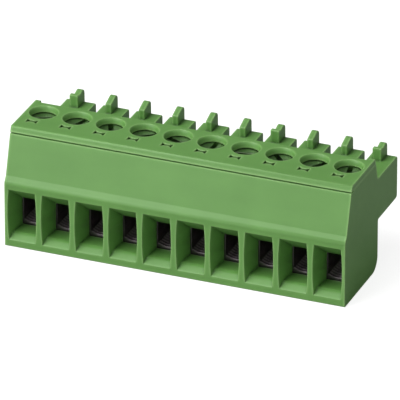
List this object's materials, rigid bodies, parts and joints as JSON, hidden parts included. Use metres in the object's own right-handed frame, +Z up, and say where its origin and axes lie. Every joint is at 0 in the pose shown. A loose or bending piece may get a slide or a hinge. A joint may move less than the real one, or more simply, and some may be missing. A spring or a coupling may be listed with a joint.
{
  "type": "pluggable terminal block",
  "caption": "Pluggable screw terminal block: one row of funnel wire entries, captive screws under a top cover, lifting clamp cages and a slotted plug-in block with coding fins.",
  "frame": {"origin": "middle of the flat base's level, under the centre of the overall box", "axes": "+X along the row of poles to the right seen from the wire side, +Y from the wire side to the plug-in side, +Z up to the screw side"},
  "size_m": [0.0352, 0.0142, 0.0121],
  "materials": {
    "green_polyamide": "satin moulded",
    "zinc_screw": "zinc plated, clear",
    "plated_cage": "nickel plated",
    "tinned_contact": "tin plated"
  },
  "bodies": {
    "block": {"housing": "green_polyamide", "top_cover": "green_polyamide", "contact_1": "tinned_contact", "contact_2": "tinned_contact", "contact_3": "tinned_contact", "contact_4": "tinned_contact", "contact_5": "tinned_contact", "contact_6": "tinned_contact", "contact_7": "tinned_contact", "contact_8": "tinned_contact", "contact_9": "tinned_contact", "contact_10": "tinned_contact"},
    "screw_1": {"clamp_screw_1": "zinc_screw"},
    "cage_1": {"clamp_cage_1": "plated_cage"},
    "screw_2": {"clamp_screw_2": "zinc_screw"},
    "cage_2": {"clamp_cage_2": "plated_cage"},
    "screw_3": {"clamp_screw_3": "zinc_screw"},
    "cage_3": {"clamp_cage_3": "plated_cage"},
    "screw_4": {"clamp_screw_4": "zinc_screw"},
    "cage_4": {"clamp_cage_4": "plated_cage"},
    "screw_5": {"clamp_screw_5": "zinc_screw"},
    "cage_5": {"clamp_cage_5": "plated_cage"},
    "screw_6": {"clamp_screw_6": "zinc_screw"},
    "cage_6": {"clamp_cage_6": "plated_cage"},
    "screw_7": {"clamp_screw_7": "zinc_screw"},
    "cage_7": {"clamp_cage_7": "plated_cage"},
    "screw_8": {"clamp_screw_8": "zinc_screw"},
    "cage_8": {"clamp_cage_8": "plated_cage"},
    "screw_9": {"clamp_screw_9": "zinc_screw"},
    "cage_9": {"clamp_cage_9": "plated_cage"},
    "screw_10": {"clamp_screw_10": "zinc_screw"},
    "cage_10": {"clamp_cage_10": "plated_cage"}
  },
  "joints": [
    {"name": "screw_turn_1", "type": "hinge", "parent": "block", "child": "screw_1", "pos_m": [-0.01575, -0.0014, 0], "axis": [0, 0, -1], "range_deg": [0, 2160]},
    {"name": "cage_lift_1", "type": "slide", "parent": "block", "child": "cage_1", "axis": [0, 0, 1], "range_m": [0, 0.0024]},
    {"name": "screw_turn_2", "type": "hinge", "parent": "block", "child": "screw_2", "pos_m": [-0.01225, -0.0014, 0], "axis": [0, 0, -1], "range_deg": [0, 2160]},
    {"name": "cage_lift_2", "type": "slide", "parent": "block", "child": "cage_2", "axis": [0, 0, 1], "range_m": [0, 0.0024]},
    {"name": "screw_turn_3", "type": "hinge", "parent": "block", "child": "screw_3", "pos_m": [-0.00875, -0.0014, 0], "axis": [0, 0, -1], "range_deg": [0, 2160]},
    {"name": "cage_lift_3", "type": "slide", "parent": "block", "child": "cage_3", "axis": [0, 0, 1], "range_m": [0, 0.0024]},
    {"name": "screw_turn_4", "type": "hinge", "parent": "block", "child": "screw_4", "pos_m": [-0.00525, -0.0014, 0], "axis": [0, 0, -1], "range_deg": [0, 2160]},
    {"name": "cage_lift_4", "type": "slide", "parent": "block", "child": "cage_4", "axis": [0, 0, 1], "range_m": [0, 0.0024]},
    {"name": "screw_turn_5", "type": "hinge", "parent": "block", "child": "screw_5", "pos_m": [-0.00175, -0.0014, 0], "axis": [0, 0, -1], "range_deg": [0, 2160]},
    {"name": "cage_lift_5", "type": "slide", "parent": "block", "child": "cage_5", "axis": [0, 0, 1], "range_m": [0, 0.0024]},
    {"name": "screw_turn_6", "type": "hinge", "parent": "block", "child": "screw_6", "pos_m": [0.00175, -0.0014, 0], "axis": [0, 0, -1], "range_deg": [0, 2160]},
    {"name": "cage_lift_6", "type": "slide", "parent": "block", "child": "cage_6", "axis": [0, 0, 1], "range_m": [0, 0.0024]},
    {"name": "screw_turn_7", "type": "hinge", "parent": "block", "child": "screw_7", "pos_m": [0.00525, -0.0014, 0], "axis": [0, 0, -1], "range_deg": [0, 2160]},
    {"name": "cage_lift_7", "type": "slide", "parent": "block", "child": "cage_7", "axis": [0, 0, 1], "range_m": [0, 0.0024]},
    {"name": "screw_turn_8", "type": "hinge", "parent": "block", "child": "screw_8", "pos_m": [0.00875, -0.0014, 0], "axis": [0, 0, -1], "range_deg": [0, 2160]},
    {"name": "cage_lift_8", "type": "slide", "parent": "block", "child": "cage_8", "axis": [0, 0, 1], "range_m": [0, 0.0024]},
    {"name": "screw_turn_9", "type": "hinge", "parent": "block", "child": "screw_9", "pos_m": [0.01225, -0.0014, 0], "axis": [0, 0, -1], "range_deg": [0, 2160]},
    {"name": "cage_lift_9", "type": "slide", "parent": "block", "child": "cage_9", "axis": [0, 0, 1], "range_m": [0, 0.0024]},
    {"name": "screw_turn_10", "type": "hinge", "parent": "block", "child": "screw_10", "pos_m": [0.01575, -0.0014, 0], "axis": [0, 0, -1], "range_deg": [0, 2160]},
    {"name": "cage_lift_10", "type": "slide", "parent": "block", "child": "cage_10", "axis": [0, 0, 1], "range_m": [0, 0.0024]}
  ],
  "couplings": [
    {"joint": "screw_turn_1", "follows": "cage_lift_1", "rad_per_m": 15708},
    {"joint": "screw_turn_2", "follows": "cage_lift_2", "rad_per_m": 15708},
    {"joint": "screw_turn_3", "follows": "cage_lift_3", "rad_per_m": 15708},
    {"joint": "screw_turn_4", "follows": "cage_lift_4", "rad_per_m": 15708},
    {"joint": "screw_turn_5", "follows": "cage_lift_5", "rad_per_m": 15708},
    {"joint": "screw_turn_6", "follows": "cage_lift_6", "rad_per_m": 15708},
    {"joint": "screw_turn_7", "follows": "cage_lift_7", "rad_per_m": 15708},
    {"joint": "screw_turn_8", "follows": "cage_lift_8", "rad_per_m": 15708},
    {"joint": "screw_turn_9", "follows": "cage_lift_9", "rad_per_m": 15708},
    {"joint": "screw_turn_10", "follows": "cage_lift_10", "rad_per_m": 15708}
  ]
}
